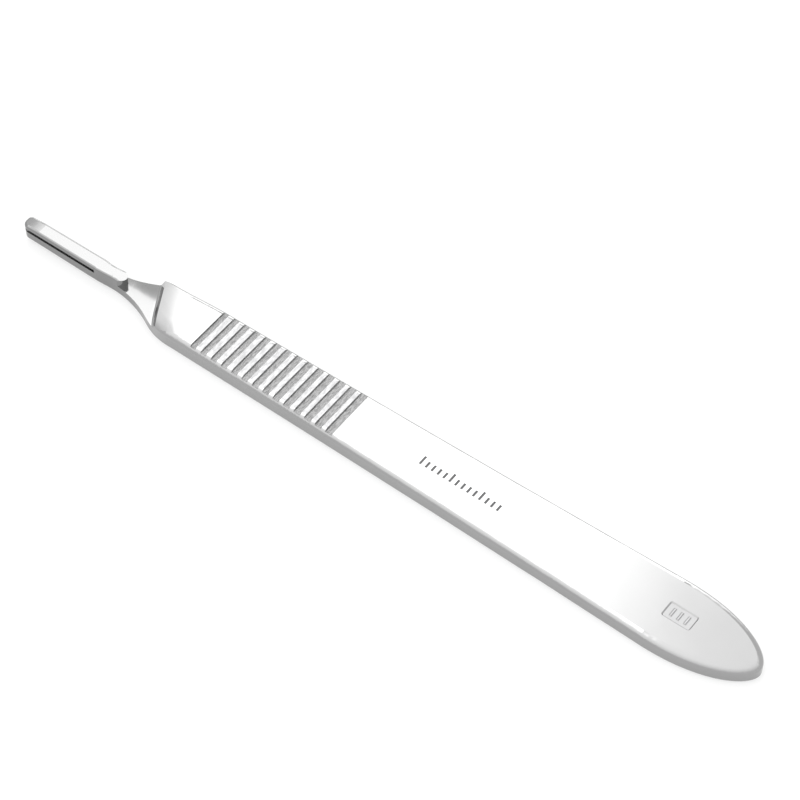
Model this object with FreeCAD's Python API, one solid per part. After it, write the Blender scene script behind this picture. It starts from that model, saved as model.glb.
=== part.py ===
"""Scalpel handle for small surgical blades, in one piece of stainless steel.

Millimetres, +Z up, underside flat on Z = 0. The origin is on the underside at
the middle of the length. The blade end points to -X and the rear end to +X. A
distance from the blade end is called a station. The far side is +Y.
"""
import FreeCAD, Part
import math
import os

# Whole handle
length = 125.0
face_height_front = 3.45
face_height_rear = 2.60
grip_edge_round = 0.88
tang_edge_round = 0.36
underside_edge_round = 0.45
edge_round_change = 21.5

# Rear end: its length, and how far its curve is pulled along the grip and across the rear tip
rear_length = 15.0
rear_side_pull = 9.4
rear_tip_pull = 2.3

# Sides of the grip: one long arc each, given by the half widths at three stations
grip_start = 34.0
grip_end = length - rear_length
grip_middle = (grip_start + grip_end) / 2
grip_start_half_width = 4.09
grip_middle_half_width = 4.64
grip_end_half_width = 5.51

# Tang that carries the blade
tang_half_width_tip = 1.05
tang_half_width_rear = 1.12
tang_far_corner_radius = 0.6
tang_side_end = 14.0
tang_nose_length = 3.2
tang_nose_drop = 0.22
tang_lift_tip = 0.54
tang_lift_rear = 0.28
tang_lift_end = 17.3
underside_start = 24.8
boss_end = 18.9
boss_nose_length = 1.9

# Side grooves of the tang, which take the edges of the blade's slot
slot_core_width = 1.36
slot_groove_height = 0.6
slot_groove_end = 11.9
slot_cutter_radius = 3.8

# Neck: each side leaves the tang in a hollow arc and meets the grip in a round one
waist_half_width = 0.98
near_flare_start = 17.0
near_hollow_radius = 16.5
near_flare_angle = 28.0
near_shoulder_half_width = 4.05
far_flare_start = 15.75
far_hollow_radius = 11.5
far_flare_angle = 33.0
far_shoulder_half_width = 3.66

# Seat that the blade lies on, crowned across, and the slanted ridge behind it
seat_height = 2.05
seat_crown_radius = 19.0
seat_crown_side = -1.3
seat_steps = 8
ridge_station = 25.2
ridge_slant = 28.5
ridge_wall_angle = 58.0
ridge_foot_radius = 0.6
ridge_roll_length = 5.0
ridge_roll_drop = 0.165
corner_roll_side = -0.8
corner_roll_drop = 0.8

# Cross grooves of the finger grip, alike on both faces
rib_groove_count = 14
rib_groove_first = 34.15
rib_groove_pitch = 1.85
rib_groove_depth = 0.22
rib_groove_width_first = 0.95
rib_groove_width_last = 1.2
rib_groove_wall_angle = 60.0

# Etched scale of plain strokes on the face
scale_start = 71.2
scale_stroke_count = 14
scale_pitch = 0.98
scale_stroke_width = 0.34
scale_short_stroke = 1.05
scale_long_stroke = 1.5
scale_long_every = 5
scale_baseline = -0.85
scale_depth = 0.05

# Stamped field near the rear end, with raised bars whose sides slope
stamp_station = length - 12.5
stamp_length = 4.4
stamp_width = 2.6
stamp_depth = 0.18
stamp_corner_radius = 0.35
stamp_bar_count = 3
stamp_bar_width = 0.42
stamp_bar_length = 1.4
stamp_bar_height = 0.14
stamp_bar_slope = 0.8 * stamp_bar_height

# How far the cutting shapes reach past the steel
reach = 5.0


def place(station, side, height=0.0):
    """Point at a distance from the blade end, positive on the far side."""
    return FreeCAD.Vector(station - length / 2, side, height)


def face_height(station):
    """Height of the flat face, which falls evenly from the blade end to the rear."""
    return face_height_front + (face_height_rear - face_height_front) * station / length


def prism(points, rise):
    """Solid over the polygon through the points, carried along the rise."""
    return Part.Face(Part.makePolygon(points + [points[0]])).extrude(rise)


def grip_side(sign):
    """Long arc of one side of the grip."""
    return Part.Arc(place(grip_start, sign * grip_start_half_width),
                    place(grip_middle, sign * grip_middle_half_width),
                    place(grip_end, sign * grip_end_half_width)).toShape()


def rear_side(sign, grip):
    """Curve of one side of the rear end, from the grip to the rear tip."""
    leave = grip.tangentAt(grip.LastParameter)
    curve = Part.BezierCurve()
    start = place(grip_end, sign * grip_end_half_width)
    curve.setPoles([start,
                    start + leave * rear_side_pull,
                    place(length, sign * rear_tip_pull),
                    place(length, 0)])
    return curve.toShape()


def flare(sign, start, hollow_radius, angle, shoulder_half_width):
    """Hollow and round arc of one side of the neck, from the waist to the shoulder."""
    turn = math.radians(angle)
    half = turn / 2

    def hollow(a):
        return place(start + hollow_radius * math.sin(a),
                     sign * (waist_half_width + hollow_radius * (1 - math.cos(a))))

    bend = hollow(turn)
    round_radius = (shoulder_half_width - abs(bend.y)) / (1 - math.cos(turn))
    shoulder = FreeCAD.Vector(bend.x + round_radius * math.sin(turn), sign * shoulder_half_width, 0)
    crest = shoulder - FreeCAD.Vector(round_radius * math.sin(half),
                                      sign * round_radius * (1 - math.cos(half)), 0)
    return [Part.Arc(hollow(0), hollow(half), bend).toShape(),
            Part.Arc(bend, crest, shoulder).toShape()]


def easy_curve(start, start_direction, end, end_direction):
    """Curve that leaves and arrives along the given directions."""
    pull = (end - start).Length / 3
    curve = Part.BezierCurve()
    curve.setPoles([start, start + start_direction * pull, end - end_direction * pull, end])
    return curve.toShape()


def shoulder_blend(sign, flare_edges, grip):
    """Easy curve from the shoulder to the start of the grip."""
    shoulder = flare_edges[-1].valueAt(flare_edges[-1].LastParameter)
    return easy_curve(shoulder, FreeCAD.Vector(1, 0, 0),
                      place(grip_start, sign * grip_start_half_width),
                      grip.tangentAt(grip.FirstParameter))


def tang_side(sign, waist_station, corner_radius):
    """Corner of the tip and side of the tang, up to the waist of the neck."""
    centre = place(corner_radius, sign * (tang_half_width_tip - corner_radius))
    bulge = centre + FreeCAD.Vector(-corner_radius, sign * corner_radius, 0) * math.sqrt(0.5)
    tip = centre - FreeCAD.Vector(corner_radius, 0, 0)
    corner = centre + FreeCAD.Vector(0, sign * corner_radius, 0)
    rear = place(tang_side_end, sign * tang_half_width_rear)
    waist = place(waist_station, sign * waist_half_width)
    ahead = FreeCAD.Vector(1, 0, 0)
    return [Part.Arc(tip, bulge, corner).toShape(),
            easy_curve(corner, ahead, rear, ahead),
            easy_curve(rear, ahead, waist, ahead)]


def side(sign, corner_radius, waist_station, hollow_radius, angle, shoulder_half_width):
    """All edges of one side, from the tip of the tang to the rear tip."""
    neck = flare(sign, waist_station, hollow_radius, angle, shoulder_half_width)
    grip = grip_side(sign)
    return (tang_side(sign, waist_station, corner_radius) + neck
            + [shoulder_blend(sign, neck, grip), grip, rear_side(sign, grip)])


def outline():
    """Outline of the whole handle as a wire in the XY plane."""
    near = side(-1, tang_half_width_tip, near_flare_start, near_hollow_radius,
                near_flare_angle, near_shoulder_half_width)
    far = side(1, tang_far_corner_radius, far_flare_start, far_hollow_radius,
               far_flare_angle, far_shoulder_half_width)
    tip = Part.makeLine(place(0, 0), place(0, tang_half_width_tip - tang_far_corner_radius))
    return Part.Wire(Part.__sortEdges__([tip] + near + far))


def room_above():
    """Everything above the sloping face."""
    wide = grip_end_half_width + reach
    high = face_height_front + 2 * reach
    return prism([place(-reach, -wide, face_height(-reach)),
                  place(length + reach, -wide, face_height(length + reach)),
                  place(length + reach, -wide, high), place(-reach, -wide, high)],
                 FreeCAD.Vector(0, 2 * wide, 0))


def room_below():
    """What is missing under the tang, which stands clear of the underside's plane."""
    leave = place(tang_lift_end, -reach, tang_lift_rear)
    falling = (leave - place(0, -reach, tang_lift_tip)).normalize()
    front = leave - falling * (tang_lift_end + reach)
    meet = place(underside_start, -reach)
    low = place(-2 * reach, -reach)
    edges = [Part.makeLine(front, leave), easy_curve(leave, falling, meet, FreeCAD.Vector(1, 0, 0)),
             Part.makeLine(meet, low), Part.makeLine(low, front)]
    return Part.Face(Part.Wire(edges)).extrude(FreeCAD.Vector(0, 2 * reach, 0))


def nose_roll():
    """What is missing above the tip of the tang, where its top rolls down."""
    radius = (tang_nose_length ** 2 + tang_nose_drop ** 2) / (2 * tang_nose_drop)
    top = place(tang_nose_length, -reach, face_height(tang_nose_length))
    centre = top - FreeCAD.Vector(0, 0, radius)
    block = prism([centre, top + FreeCAD.Vector(0, 0, reach),
                   top + FreeCAD.Vector(-2 * reach, 0, reach), centre - FreeCAD.Vector(2 * reach, 0, 0)],
                  FreeCAD.Vector(0, 2 * reach, 0))
    return block.cut(Part.makeCylinder(radius, 2 * reach, centre, FreeCAD.Vector(0, 1, 0)))


def rim(solid, lowest, highest):
    """Edges that run round the solid between two heights, without those straight across."""
    return [edge for edge in solid.Edges
            if edge.BoundBox.ZMin >= lowest and edge.BoundBox.ZMax <= highest
            and edge.BoundBox.XLength > 0.01]


def plain_bar():
    """Bar with the handle's outline, its faces in place and its underside's rim rounded."""
    tall = Part.Face(outline()).extrude(FreeCAD.Vector(0, 0, face_height_front + reach))
    bar = tall.cut([room_above(), room_below(), nose_roll()])
    return bar.makeFillet(underside_edge_round, rim(bar, -1.0, face_height_rear / 2))


def face_rounded(bar, radius):
    """Bar with the rim of its face rounded."""
    return bar.makeFillet(radius, rim(bar, face_height_rear / 2, face_height_front + reach))


def joined_bar():
    """Bar whose tang and grip have their own roundings. They meet under the seat's room."""
    high = face_height_front + reach
    wide = grip_end_half_width + reach
    front = Part.makeBox(edge_round_change + reach, 2 * wide, high + reach,
                         place(-reach, -wide, -reach))
    bar = plain_bar()
    tang = face_rounded(bar.common(front), tang_edge_round)
    grip = face_rounded(bar.cut(front), grip_edge_round)
    return tang.fuse(grip).removeSplitter()


def roll_drop(side_offset):
    """How far the face has rolled down where it meets the ridge."""
    share = max(0.0, corner_roll_side - side_offset) / (near_shoulder_half_width + corner_roll_side)
    return ridge_roll_drop + (corner_roll_drop - ridge_roll_drop) * share ** 3


def seat_section(side_offset):
    """Lengthwise section of the room above the seat, at one distance from the centre."""
    crown = math.sqrt(seat_crown_radius ** 2 - (side_offset - seat_crown_side) ** 2)
    floor = seat_height - seat_crown_radius + crown
    top = face_height_front + 1.0
    turn = math.radians(ridge_wall_angle)
    ridge = ridge_station - side_offset * math.tan(math.radians(ridge_slant))
    rear = ridge + ridge_roll_length
    edge = face_height(ridge) - roll_drop(side_offset)
    foot = ridge - (edge - floor) / math.tan(turn)
    pull = ridge_foot_radius * math.tan(turn / 2)
    before = place(foot - pull, side_offset, floor)
    after = place(foot + pull * math.cos(turn), side_offset, floor + pull * math.sin(turn))
    middle = place(foot - pull + ridge_foot_radius * math.sin(turn / 2), side_offset,
                   floor + ridge_foot_radius * (1 - math.cos(turn / 2)))
    crest = place(ridge, side_offset, edge)
    flat = place(rear, side_offset, face_height(rear))
    roll = Part.BezierCurve()
    roll.setPoles([crest, place((ridge + rear) / 2, side_offset, face_height((ridge + rear) / 2)), flat])
    front = place(-reach, side_offset, floor)
    lid_front = place(-reach, side_offset, top)
    lid_rear = place(rear, side_offset, top)
    return Part.Wire([Part.makeLine(lid_front, front), Part.makeLine(front, before),
                      Part.Arc(before, middle, after).toShape(), Part.makeLine(after, crest),
                      roll.toShape(), Part.makeLine(flat, lid_rear),
                      Part.makeLine(lid_rear, lid_front)])


def seat_room():
    """Room above the blade's seat and the rolled end of the face, less the tang's boss."""
    widest = grip_start_half_width + 0.3
    sections = [seat_section(widest * (2 * i / seat_steps - 1)) for i in range(seat_steps + 1)]
    room = Part.makeLoft(sections, True, False)
    half = tang_half_width_rear
    shoulder = boss_end - boss_nose_length
    tall = FreeCAD.Vector(0, 0, face_height_front + reach)
    boss = prism([place(-2 * reach, -half), place(shoulder, -half),
                  place(shoulder, half), place(-2 * reach, half)], tall)
    nose = Part.Ellipse(place(shoulder, 0), boss_nose_length, half).toShape()
    return room.cut(boss.fuse(Part.Face(Part.Wire([nose])).extrude(tall)))


def slot_groove(sign):
    """Groove along one side of the tang, run out by a round cutter at its rear end."""
    inner = sign * slot_core_width / 2
    rise = FreeCAD.Vector(0, 0, slot_groove_height)
    outer = inner + sign * slot_cutter_radius
    straight = prism([place(-reach, inner, seat_height), place(slot_groove_end, inner, seat_height),
                      place(slot_groove_end, outer, seat_height), place(-reach, outer, seat_height)],
                     rise)
    cutter = Part.makeCylinder(slot_cutter_radius, slot_groove_height,
                               place(slot_groove_end, outer, seat_height))
    return straight.fuse(cutter)


def rib_groove(index, height, down):
    """Cross groove at one place in the row; down is -1 for the face, 1 for the underside."""
    share = index / max(rib_groove_count - 1, 1)
    station = rib_groove_first + index * rib_groove_pitch
    half = (rib_groove_width_first + (rib_groove_width_last - rib_groove_width_first) * share) / 2
    lean = 1 / math.tan(math.radians(rib_groove_wall_angle))
    wide = grip_end_half_width + reach
    out = 1.0
    level = height(station)
    bottom = level + down * rib_groove_depth
    top = level - down * out
    narrow = half - rib_groove_depth * lean
    broad = half + out * lean
    return prism([place(station - narrow, -wide, bottom), place(station + narrow, -wide, bottom),
                  place(station + broad, -wide, top), place(station - broad, -wide, top)],
                 FreeCAD.Vector(0, 2 * wide, 0))


def rib_grooves():
    """Both rows of cross grooves, on the face and on the underside."""
    face = [rib_groove(i, face_height, -1) for i in range(rib_groove_count)]
    underside = [rib_groove(i, lambda station: 0.0, 1) for i in range(rib_groove_count)]
    return face + underside


def scale_strokes():
    """Shallow etched strokes, every few of them longer."""
    strokes = []
    for i in range(scale_stroke_count):
        tall = scale_long_stroke if i % scale_long_every == 0 else scale_short_stroke
        station = scale_start + i * scale_pitch
        corner = place(station - scale_stroke_width / 2, scale_baseline, face_height(station) - scale_depth)
        strokes.append(Part.makeBox(scale_stroke_width, tall, reach, corner))
    return strokes


def stamp_bar(station, floor):
    """Raised bar with sloping sides, standing on the floor of the stamped field."""
    corner = place(station - stamp_bar_width / 2, -stamp_bar_length / 2, floor)
    bar = Part.makeBox(stamp_bar_width, stamp_bar_length, stamp_bar_height, corner)
    highest = [e for e in bar.Edges if e.BoundBox.ZMin > floor + stamp_bar_height / 2]
    return bar.makeChamfer(stamp_bar_slope, highest)


def stamp_field():
    """Sunken field with rounded corners and sloping walls, less the bars that stand in it."""
    floor = face_height(stamp_station) - stamp_depth
    corner = place(stamp_station - stamp_length / 2, -stamp_width / 2, floor)
    field = Part.makeBox(stamp_length, stamp_width, reach, corner)
    uprights = [e for e in field.Edges if abs(e.tangentAt(e.FirstParameter).z) > 0.5]
    field = field.makeFillet(stamp_corner_radius, uprights)
    lowest = [e for e in field.Edges if e.BoundBox.ZMax < floor + 0.01]
    field = field.makeChamfer(stamp_depth, lowest)
    gap = stamp_length / (stamp_bar_count + 1)
    first = stamp_station - stamp_length / 2
    return field.cut([stamp_bar(first + (i + 1) * gap, floor) for i in range(stamp_bar_count)])


def scalpel_handle():
    """The whole handle as one solid."""
    handle = joined_bar().cut(seat_room())
    handle = handle.cut([slot_groove(-1), slot_groove(1)])
    handle = handle.cut(rib_grooves())
    handle = handle.cut(scale_strokes() + [stamp_field()])
    return handle.Solids[0]


os.makedirs("parts", exist_ok=True)
scalpel_handle().exportStep("parts/scalpel_handle.step")
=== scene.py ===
"""Studio view of a one-piece steel scalpel handle lying on its flat underside."""

import math

import bpy
from mathutils import Matrix, Vector


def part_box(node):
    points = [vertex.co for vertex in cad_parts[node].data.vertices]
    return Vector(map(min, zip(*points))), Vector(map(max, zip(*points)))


MM = 0.001

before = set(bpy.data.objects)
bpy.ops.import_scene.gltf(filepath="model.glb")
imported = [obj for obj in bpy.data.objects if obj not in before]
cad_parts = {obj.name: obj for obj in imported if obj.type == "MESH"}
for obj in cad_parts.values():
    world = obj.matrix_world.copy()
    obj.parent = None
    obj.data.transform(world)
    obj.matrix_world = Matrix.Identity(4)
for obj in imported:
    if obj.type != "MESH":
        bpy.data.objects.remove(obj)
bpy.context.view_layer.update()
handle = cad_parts["scalpel_handle"]
lowest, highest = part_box("scalpel_handle")
LENGTH = highest.x - lowest.x

# Heights of the sloping face above the underside
FACE_HEIGHT_FRONT = 3.45 * MM
FACE_HEIGHT_REAR = 2.60 * MM

# Cross grooves, with stations counted from the blade end here and below
RIB_FIRST = 34.15 * MM
RIB_PITCH = 1.85 * MM
RIB_COUNT = 14
RIB_HALF_FIRST = 0.475 * MM
RIB_HALF_LAST = 0.60 * MM
RIB_LAST_EDGE = RIB_FIRST + (RIB_COUNT - 1) * RIB_PITCH + RIB_HALF_LAST
RIB_DEPTH = 0.22 * MM
RIB_DEPTH_LIMIT = 1.1 * RIB_DEPTH

# Lands between the cross grooves, where the surface points straight up
LAND_SOFT = 0.3 * MM
LAND_UP_FROM = 0.985
LAND_UP_TO = 0.999

# Etched strokes and the stamped field, both a little below the level face
SCALE_START = 70.5 * MM
SCALE_END = 85.0 * MM
SCALE_HALF_WIDTH = 1.2 * MM
SCALE_FULL_DEPTH = 0.03 * MM
STAMP_START = 110.0 * MM
STAMP_END = 115.0 * MM
STAMP_HALF_WIDTH = 1.5 * MM
STAMP_FULL_DEPTH = 0.04 * MM
MARK_FIRST_DEPTH = 0.01 * MM
MARK_SOFT = 0.1 * MM
MARK_UP = 0.9

# Slanted ridge behind the blade's seat, and how the face's shading rolls down to it
RIDGE_STATION = 25.2 * MM
RIDGE_SLANT = math.radians(28.5)
ROLL_LENGTH = 8.0 * MM
ROLL_DROP = 0.22 * MM
ROLL_POWER = 1.5

# Darker blade end, by the distance past the ridge
BLADE_END_FROM = -0.3 * MM
BLADE_END_FULL = -1.5 * MM
BLADE_END_SHADE = 0.27

# Side grooves of the tang, which start at the seat's height
SEAT_HEIGHT = 2.05 * MM
SIDE_GROOVE_HEIGHT = 0.6 * MM
SIDE_GROOVE_REACH = 0.95 * MM
SIDE_GROOVE_END = 16.0 * MM
SIDE_GROOVE_SOFT = 0.02 * MM


def grey(tone, cool=0.0):
    """Opaque grey, with a little more blue where it is cool."""
    return (tone, tone, tone + cool, 1.0)


# Tones of the steel and of what is milled, stamped or etched in it
BLACK = grey(0.0)
WHITE = grey(1.0)
STEEL_DARK = grey(0.335)
STEEL_LIGHT = grey(0.365)
BRUSHED = grey(0.31)
BRUSHED_SHARE = 0.18
SIDE_GROOVE = grey(0.30)
LAND_DARK = grey(0.205, 0.002)
LAND_LIGHT = grey(0.290, 0.002)
LAND_NOISE_FROM = 0.35
LAND_NOISE_TO = 0.65
MILLED_DARK = grey(0.14)
MILLED_LIGHT = grey(0.32)
MILLED_NOISE_FROM = 0.3
MILLED_NOISE_TO = 0.7
STAMPED = grey(0.28, 0.003)
STAMPED_SHARE = 0.5
ETCHED_DARK = grey(0.08, 0.002)
ETCHED_LIGHT = grey(0.15, 0.002)

# Roughness of the same surfaces
STEEL_ROUGH = 0.10
STEEL_ROUGH_SPREAD = 0.03
MILLED_ROUGH = 0.40
MILLED_ROUGH_SPREAD = 0.2
STAMPED_ROUGH = 0.34
ETCHED_ROUGH = 0.6

# Camera at the photograph's viewing angle, where azimuth 0 looks along +Y
CAMERA_TARGET = Vector((-1.302, 7.988, 0.0)) * MM
CAMERA_DISTANCE = 385.653 * MM
CAMERA_AZIMUTH = math.radians(37.610)
CAMERA_ELEVATION = math.radians(52.444)
CAMERA_ROLL = math.radians(-0.647)
CAMERA_LENS = 126.0
CAMERA_NEAREST = 10.0 * MM
SENSOR_WIDTH = 36.0

# Soft window mirrored in the face: its middle, and its edges along and across the handle
KEY_DIRECTION = (-0.390, 0.467, 0.793)
KEY_FULL = 0.3
KEY_LEVEL = (0.922, 0.195, 0.335)
KEY_STEEP = (0.002, 0.862, -0.507)
KEY_LEFT_FROM = -0.23
KEY_LEFT_TO = -0.12
KEY_RIGHT_FROM = 0.110
KEY_RIGHT_TO = 0.150
KEY_BOW = 0.24
KEY_TOP_FROM = -0.95
KEY_TOP_TO = -0.60
KEY_BOTTOM_FROM = 0.12
KEY_BOTTOM_TO = 0.15
KEY_OPEN_FROM = -0.065
KEY_OPEN_TO = -0.030
KEY_STRENGTH = 1.9

# Wide glow high on the near side
GLOW_DIRECTION = (-0.370, -0.200, 0.907)
GLOW_START = -0.10
GLOW_FULL = 1.0
GLOW_LOW_FROM = 0.08
GLOW_LOW_TO = 0.26
GLOW_SIDE = (0.921, -0.150, 0.538)
GLOW_SIDE_FROM = -0.42
GLOW_SIDE_TO = -0.15
GLOW_STRENGTH = 1.03

# Bright band low behind the handle, and even light all round
BAND_FROM = 0.34
BAND_TO = 0.50
BAND_RIGHT_FROM = 0.06
BAND_RIGHT_TO = 0.26
BAND_STRENGTH = 2.0
SURROUND_STRENGTH = 1.15

# Pale floor that also glows faintly, like a light table
FLOOR_REACH = 3.0
FLOOR_GAP = 0.02 * MM
FLOOR_TONE = grey(0.26)
FLOOR_LIGHT = 0.62
FLOOR_ROUGH = 0.9
FLOOR_SPECULAR = 0.1


class Nodes:
    """Short calls for the nodes of one material or world."""

    def __init__(self, tree):
        self.tree = tree

    def put(self, socket, value):
        """Links a socket to another one's output, or sets its value."""
        if isinstance(value, bpy.types.NodeSocket):
            self.tree.links.new(value, socket)
        else:
            socket.default_value = value

    def output(self, kind, name):
        """Named output of a new node that needs no input."""
        return self.tree.nodes.new(kind).outputs[name]

    def math(self, operation, *values, clamp=False):
        """Output of a math node."""
        node = self.tree.nodes.new("ShaderNodeMath")
        node.operation = operation
        node.use_clamp = clamp
        for socket, value in zip(node.inputs, values):
            self.put(socket, value)
        return node.outputs[0]

    def product(self, first, *others):
        """Product of two or more values."""
        result = first
        for other in others:
            result = self.math("MULTIPLY", result, other)
        return result

    def ramp(self, value, low, high, start=0.0, end=1.0, shape="SMOOTHSTEP"):
        """Step from start, where the value is low, to end, where it is high."""
        node = self.tree.nodes.new("ShaderNodeMapRange")
        node.interpolation_type = shape
        self.put(node.inputs["Value"], value)
        node.inputs["From Min"].default_value = low
        node.inputs["From Max"].default_value = high
        node.inputs["To Min"].default_value = start
        node.inputs["To Max"].default_value = end
        return node.outputs["Result"]

    def between(self, value, low, high, soft):
        """1 between two values and 0 outside them, with soft edges."""
        return self.product(self.ramp(value, low - soft, low + soft),
                            self.ramp(value, high + soft, high - soft))

    def mix(self, share, first, second):
        """Mix of two numbers by a share."""
        node = self.tree.nodes.new("ShaderNodeMix")
        self.put(node.inputs[0], share)
        self.put(node.inputs[2], first)
        self.put(node.inputs[3], second)
        return node.outputs[0]

    def mix_colour(self, share, first, second):
        """Mix of two colours by a share."""
        node = self.tree.nodes.new("ShaderNodeMix")
        node.data_type = "RGBA"
        self.put(node.inputs[0], share)
        self.put(node.inputs[6], first)
        self.put(node.inputs[7], second)
        return node.outputs[2]

    def along(self, direction, axis):
        """How far a direction points along an axis."""
        node = self.tree.nodes.new("ShaderNodeVectorMath")
        node.operation = "DOT_PRODUCT"
        self.put(node.inputs[0], direction)
        node.inputs[1].default_value = axis
        return node.outputs["Value"]

    def scaled(self, place, x=1.0, y=1.0, z=1.0):
        """Place multiplied along each axis."""
        node = self.tree.nodes.new("ShaderNodeVectorMath")
        node.operation = "MULTIPLY"
        self.put(node.inputs[0], place)
        node.inputs[1].default_value = (x, y, z)
        return node.outputs[0]

    def noise(self, place, scale, detail, roughness=0.5):
        """Noise from 0 to 1."""
        node = self.tree.nodes.new("ShaderNodeTexNoise")
        self.put(node.inputs["Vector"], place)
        node.inputs["Scale"].default_value = scale
        node.inputs["Detail"].default_value = detail
        node.inputs["Roughness"].default_value = roughness
        return node.outputs["Fac"]

    def split(self, vector):
        """The three parts of a vector."""
        node = self.tree.nodes.new("ShaderNodeSeparateXYZ")
        self.put(node.inputs[0], vector)
        return node.outputs

    def bump(self, height, strength, distance, normal=None):
        """Normal bent by a height."""
        node = self.tree.nodes.new("ShaderNodeBump")
        node.inputs["Strength"].default_value = strength
        node.inputs["Distance"].default_value = distance
        self.put(node.inputs["Height"], height)
        if normal is not None:
            self.put(node.inputs["Normal"], normal)
        return node.outputs[0]


class SteelNodes(Nodes):
    """Nodes of the steel, with masks that follow the handle's shape."""

    def __init__(self, tree):
        super().__init__(tree)
        self.place = self.output("ShaderNodeTexCoord", "Object")
        x, y, self.height = self.split(self.place)
        self.up = self.split(self.output("ShaderNodeNewGeometry", "Normal"))[2]
        self.station = self.math("ADD", x, LENGTH / 2)
        self.beside = self.math("ABSOLUTE", y)
        fall = (FACE_HEIGHT_REAR - FACE_HEIGHT_FRONT) / LENGTH
        face = self.math("MULTIPLY_ADD", self.station, fall, FACE_HEIGHT_FRONT)
        self.depth = self.math("SUBTRACT", face, self.height)
        ridge = self.math("MULTIPLY_ADD", y, -math.tan(RIDGE_SLANT), RIDGE_STATION)
        self.past_ridge = self.math("SUBTRACT", self.station, ridge)

    def cross_grooves(self):
        """1 in the cross grooves of either face: near a groove's middle, and shallow."""
        index = self.math("DIVIDE", self.math("SUBTRACT", self.station, RIB_FIRST), RIB_PITCH)
        nearest = self.math("MAXIMUM", self.math("ROUND", index), 0.0)
        nearest = self.math("MINIMUM", nearest, RIB_COUNT - 1.0)
        off = self.product(self.math("ABSOLUTE", self.math("SUBTRACT", index, nearest)), RIB_PITCH)
        widening = (RIB_HALF_LAST - RIB_HALF_FIRST) / (RIB_COUNT - 1)
        half = self.math("MULTIPLY_ADD", nearest, widening, RIB_HALF_FIRST)
        nearer_face = self.math("MINIMUM", self.depth, self.height)
        return self.product(self.math("LESS_THAN", off, half),
                            self.math("LESS_THAN", nearer_face, RIB_DEPTH_LIMIT))

    def lands(self):
        """1 on the level lands between the cross grooves."""
        return self.product(self.between(self.station, RIB_FIRST, RIB_LAST_EDGE, LAND_SOFT),
                            self.ramp(self.up, LAND_UP_FROM, LAND_UP_TO))

    def sunken_mark(self, start, end, half_width, full_depth):
        """1 on the level floor of a mark in the face between two stations."""
        return self.product(self.between(self.station, start, end, MARK_SOFT),
                            self.ramp(self.depth, MARK_FIRST_DEPTH, full_depth),
                            self.math("GREATER_THAN", self.up, MARK_UP),
                            self.math("LESS_THAN", self.beside, half_width))

    def side_grooves(self):
        """1 in the grooves along the tang's sides."""
        top = SEAT_HEIGHT + SIDE_GROOVE_HEIGHT
        return self.product(self.between(self.height, SEAT_HEIGHT, top, SIDE_GROOVE_SOFT),
                            self.math("LESS_THAN", self.beside, SIDE_GROOVE_REACH),
                            self.math("LESS_THAN", self.station, SIDE_GROOVE_END))

    def ridge_roll(self):
        """Height of the face's roll, from -1 at the ridge to 0 where the roll ends."""
        behind = self.math("DIVIDE", self.past_ridge, ROLL_LENGTH, clamp=True)
        before = self.math("SUBTRACT", 1.0, behind)
        return self.product(self.math("POWER", before, ROLL_POWER), -1.0)


def new_material(name):
    """New material with its node tree and its shader."""
    material = bpy.data.materials.new(name)
    material.use_nodes = True
    return material, material.node_tree, material.node_tree.nodes["Principled BSDF"]


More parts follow.
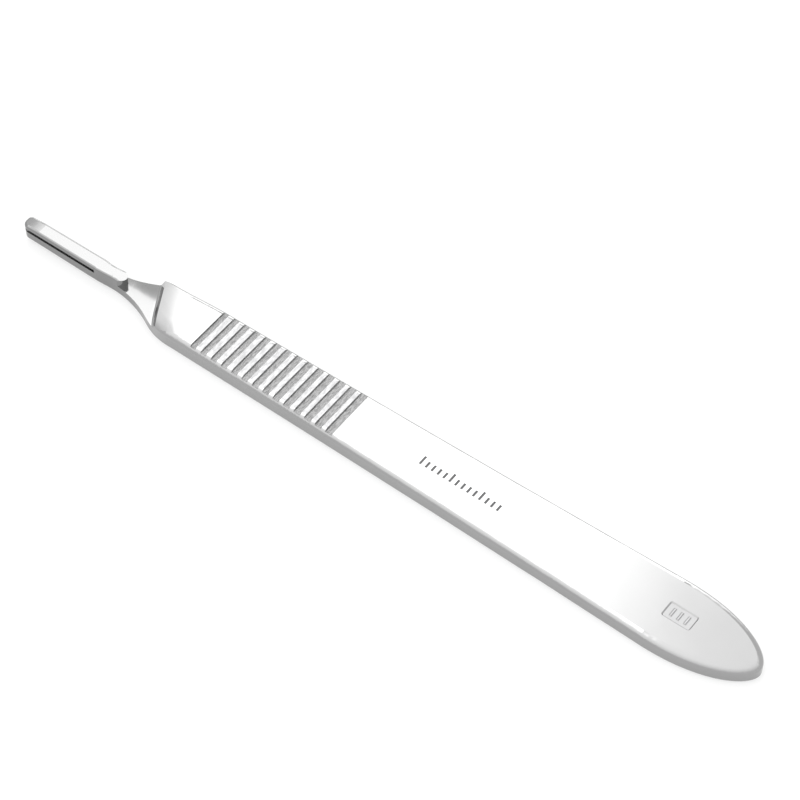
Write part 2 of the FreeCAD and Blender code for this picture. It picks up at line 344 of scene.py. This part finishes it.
def steel_material():
    """Satin stainless steel with brushing, duller milled grooves and dark etched strokes."""
    material, tree, shader = new_material("satin_steel")
    n = SteelNodes(tree)
    grooves = n.cross_grooves()
    etched = n.sunken_mark(SCALE_START, SCALE_END, SCALE_HALF_WIDTH, SCALE_FULL_DEPTH)
    stamped = n.sunken_mark(STAMP_START, STAMP_END, STAMP_HALF_WIDTH, STAMP_FULL_DEPTH)

    # Brushing along the handle, milling marks and streaks across it, grit and soft smudges
    brushing = n.noise(n.scaled(n.place, x=0.05), scale=9000.0, detail=6.0, roughness=0.65)
    milling = n.noise(n.scaled(n.place, y=0.25), scale=5200.0, detail=5.0, roughness=0.7)
    streaks = n.noise(n.scaled(n.place, y=0.35), scale=2600.0, detail=4.0, roughness=0.65)
    grit = n.noise(n.place, scale=14000.0, detail=3.0)
    smudge = n.noise(n.place, scale=130.0, detail=4.0, roughness=0.55)

    # Base colour, from the bare steel to the marks in it
    colour = n.mix_colour(smudge, STEEL_DARK, STEEL_LIGHT)
    colour = n.mix_colour(n.product(brushing, BRUSHED_SHARE), colour, BRUSHED)
    blade_end = n.ramp(n.past_ridge, BLADE_END_FROM, BLADE_END_FULL)
    colour = n.mix_colour(n.product(blade_end, BLADE_END_SHADE), colour, BLACK)
    colour = n.mix_colour(n.side_grooves(), colour, SIDE_GROOVE)
    streaked = n.ramp(streaks, LAND_NOISE_FROM, LAND_NOISE_TO)
    colour = n.mix_colour(n.lands(), colour, n.mix_colour(streaked, LAND_DARK, LAND_LIGHT))
    milled = n.ramp(milling, MILLED_NOISE_FROM, MILLED_NOISE_TO)
    colour = n.mix_colour(grooves, colour, n.mix_colour(milled, MILLED_DARK, MILLED_LIGHT))
    colour = n.mix_colour(n.product(stamped, STAMPED_SHARE), colour, STAMPED)
    colour = n.mix_colour(etched, colour, n.mix_colour(grit, ETCHED_DARK, ETCHED_LIGHT))

    # Roughness, in the same order
    rough = n.math("MULTIPLY_ADD", smudge, STEEL_ROUGH_SPREAD, STEEL_ROUGH)
    rough = n.math("MULTIPLY_ADD", brushing, STEEL_ROUGH_SPREAD, rough)
    milled_rough = n.math("MULTIPLY_ADD", milling, MILLED_ROUGH_SPREAD, MILLED_ROUGH)
    rough = n.mix(grooves, rough, milled_rough)
    rough = n.mix(stamped, rough, STAMPED_ROUGH)
    rough = n.mix(etched, rough, ETCHED_ROUGH)

    # Bumps of the brushing, the roll behind the ridge and the milling
    bent = n.bump(brushing, strength=0.25, distance=0.002 * MM)
    bent = n.bump(n.ridge_roll(), strength=1.0, distance=ROLL_DROP, normal=bent)
    bent = n.bump(n.product(milling, grooves), strength=0.6, distance=0.02 * MM, normal=bent)

    shader.inputs["Metallic"].default_value = 1.0
    n.put(shader.inputs["Base Color"], colour)
    n.put(shader.inputs["Roughness"], rough)
    n.put(shader.inputs["Normal"], bent)
    return material


def make_camera():
    """Camera on its target, with no shift and no depth of field."""
    data = bpy.data.cameras.new("camera")
    data.sensor_width = SENSOR_WIDTH
    data.lens = CAMERA_LENS
    data.clip_start = CAMERA_NEAREST
    camera = bpy.data.objects.new("camera", data)
    bpy.context.scene.collection.objects.link(camera)
    turned = Matrix.Rotation(CAMERA_AZIMUTH, 4, "Z")
    tilted = Matrix.Rotation(math.pi / 2 - CAMERA_ELEVATION, 4, "X")
    rolled = Matrix.Rotation(CAMERA_ROLL, 4, "Z")
    away = Matrix.Translation((0.0, 0.0, CAMERA_DISTANCE))
    camera.matrix_world = Matrix.Translation(CAMERA_TARGET) @ turned @ tilted @ rolled @ away
    bpy.context.scene.camera = camera


def make_floor():
    """Plain pale floor under the handle."""
    mesh = bpy.data.meshes.new("floor")
    signs = ((-1, -1), (1, -1), (1, 1), (-1, 1))
    corners = [(across * FLOOR_REACH, back * FLOOR_REACH, 0.0) for across, back in signs]
    mesh.from_pydata(corners, [], [(0, 1, 2, 3)])
    floor = bpy.data.objects.new("floor", mesh)
    floor.location.z = -FLOOR_GAP
    bpy.context.scene.collection.objects.link(floor)
    material, _, shader = new_material("pale_floor")
    shader.inputs["Base Color"].default_value = FLOOR_TONE
    shader.inputs["Emission Color"].default_value = WHITE
    shader.inputs["Emission Strength"].default_value = FLOOR_LIGHT
    shader.inputs["Roughness"].default_value = FLOOR_ROUGH
    shader.inputs["Specular IOR Level"].default_value = FLOOR_SPECULAR
    mesh.materials.append(material)


def make_world():
    """White studio: a soft window, a wide glow and a low band in even surroundings."""
    world = bpy.data.worlds.new("studio")
    world.use_nodes = True
    n = Nodes(world.node_tree)
    direction = n.output("ShaderNodeTexCoord", "Generated")
    level = n.along(direction, KEY_LEVEL)
    steep = n.along(direction, KEY_STEEP)

    # The window's right edge is bowed, and its bottom is open all the way down on the right
    bowed = n.math("ADD", level, n.product(steep, steep, KEY_BOW))
    bottom = n.math("MAXIMUM", n.ramp(steep, KEY_BOTTOM_FROM, KEY_BOTTOM_TO, 1.0, 0.0),
                    n.ramp(level, KEY_OPEN_FROM, KEY_OPEN_TO))
    window = n.product(
        n.ramp(level, KEY_LEFT_FROM, KEY_LEFT_TO),
        n.ramp(bowed, KEY_RIGHT_FROM, KEY_RIGHT_TO, 1.0, 0.0),
        n.ramp(steep, KEY_TOP_FROM, KEY_TOP_TO),
        bottom,
        n.ramp(n.along(direction, KEY_DIRECTION), 0.0, KEY_FULL, 0.0, KEY_STRENGTH))

    # The glow ends low down and on the left, and the band ends on the right
    toward = n.along(direction, GLOW_DIRECTION)
    aside = n.along(direction, GLOW_SIDE)
    glow = n.product(
        n.ramp(toward, GLOW_START, GLOW_FULL, 0.0, GLOW_STRENGTH, "LINEAR"),
        n.ramp(steep, GLOW_LOW_FROM, GLOW_LOW_TO, 1.0, 0.0),
        n.ramp(aside, GLOW_SIDE_FROM, GLOW_SIDE_TO))
    band = n.product(
        n.ramp(steep, BAND_FROM, BAND_TO, 0.0, BAND_STRENGTH),
        n.ramp(level, BAND_RIGHT_FROM, BAND_RIGHT_TO, 1.0, 0.0))

    strength = n.math("ADD", n.math("ADD", window, glow), n.math("ADD", band, SURROUND_STRENGTH))
    background = world.node_tree.nodes["Background"]
    background.inputs["Color"].default_value = WHITE
    n.put(background.inputs["Strength"], strength)
    bpy.context.scene.world = world


make_camera()
make_world()
make_floor()
steel = steel_material()
for slot in handle.material_slots:
    slot.material = steel

bpy.context.scene.view_settings.view_transform = "Standard"
